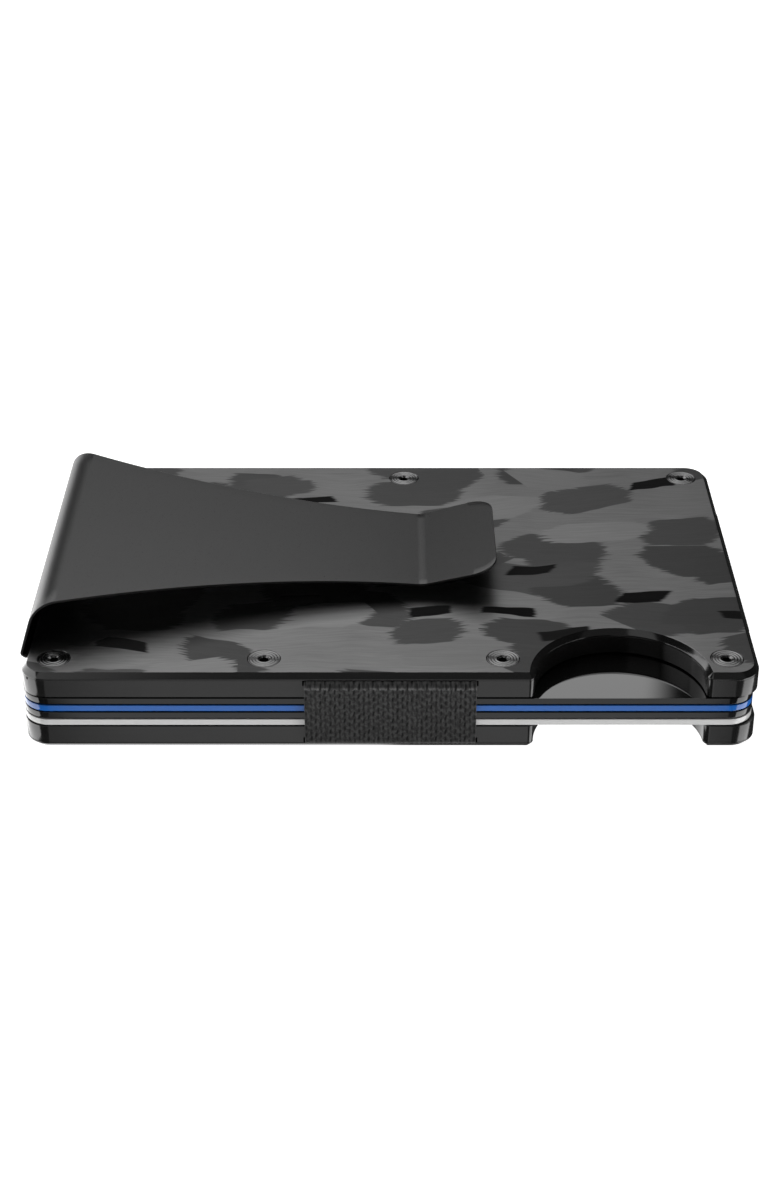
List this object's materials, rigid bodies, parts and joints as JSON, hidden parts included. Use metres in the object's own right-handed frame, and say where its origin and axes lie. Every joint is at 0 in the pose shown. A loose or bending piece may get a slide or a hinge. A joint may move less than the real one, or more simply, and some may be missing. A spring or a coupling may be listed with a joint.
{
  "type": "minimalist wallet",
  "caption": "Slim card wallet: screwed, chamfered plate halves drawn together by elastic bands round a stack of cards, with a thumb notch and a sprung money clip.",
  "frame": {"origin": "centre of the bottom half's outer face, the face the wallet rests on", "axes": "+X towards the closed short end that the end band covers, -Y towards the long edge with the thumb notch, +Z towards the face that carries the money clip"},
  "size_m": [0.0869, 0.0554, 0.0156],
  "materials": {
    "forged_carbon": "chopped carbon fibre in resin, fibre chips in two greys, satin with a clear gloss",
    "black_aluminium": "black anodised, satin",
    "black_screw_steel": "black-oxide steel, turned in fine rings",
    "black_spring_steel": "black satin coating on spring steel",
    "black_elastic": "ribbed woven elastic",
    "black_card_plastic": "glossy",
    "blue_card_plastic": "glossy",
    "grey_card_plastic": "glossy",
    "white_card_plastic": "glossy"
  },
  "bodies": {
    "bottom_half": {"bottom_face_plate": "forged_carbon", "bottom_frame_plate": "black_aluminium", "bottom_corner_screws": "black_screw_steel", "bottom_edge_screws": "black_screw_steel", "cross_band_bottom_run": "black_elastic", "cross_band_front_side": "black_elastic", "cross_band_back_side": "black_elastic", "end_band_bottom_tail": "black_elastic", "end_band_side": "black_elastic"},
    "top_half": {"top_face_plate": "forged_carbon", "top_frame_plate": "black_aluminium", "top_corner_screws": "black_screw_steel", "top_clip_screws": "black_screw_steel", "top_edge_screws": "black_screw_steel", "cross_band_top_run": "black_elastic", "end_band_top_tail": "black_elastic", "money_clip_base": "black_spring_steel"},
    "clip_arm": {"money_clip_arm": "black_spring_steel"},
    "card_black": {"black_card": "black_card_plastic"},
    "card_blue": {"blue_card": "blue_card_plastic"},
    "card_grey": {"grey_card": "grey_card_plastic"},
    "card_white": {"white_card": "white_card_plastic"}
  },
  "joints": [
    {"name": "plates_spread", "type": "slide", "parent": "bottom_half", "child": "top_half", "axis": [0, 0, 1], "range_m": [0, 0.006], "stiffness_N_per_m": 600, "springref_m": -0.004, "deforming": ["cross_band_front_side", "cross_band_back_side", "end_band_side"]},
    {"name": "clip_flex", "type": "hinge", "parent": "top_half", "child": "clip_arm", "pos_m": [-0.0395, 0, 0.0126], "axis": [0, -1, 0], "range_deg": [-1.8, 6], "stiffness_Nm_per_rad": 3},
    {"name": "black_card_slide", "type": "slide", "parent": "bottom_half", "child": "card_black", "axis": [-1, 0, 0], "range_m": [0, 0.06]},
    {"name": "blue_card_slide", "type": "slide", "parent": "bottom_half", "child": "card_blue", "axis": [-1, 0, 0], "range_m": [0, 0.06]},
    {"name": "grey_card_slide", "type": "slide", "parent": "bottom_half", "child": "card_grey", "axis": [-1, 0, 0], "range_m": [0, 0.06]},
    {"name": "white_card_slide", "type": "slide", "parent": "bottom_half", "child": "card_white", "axis": [-1, 0, 0], "range_m": [0, 0.06]}
  ]
}
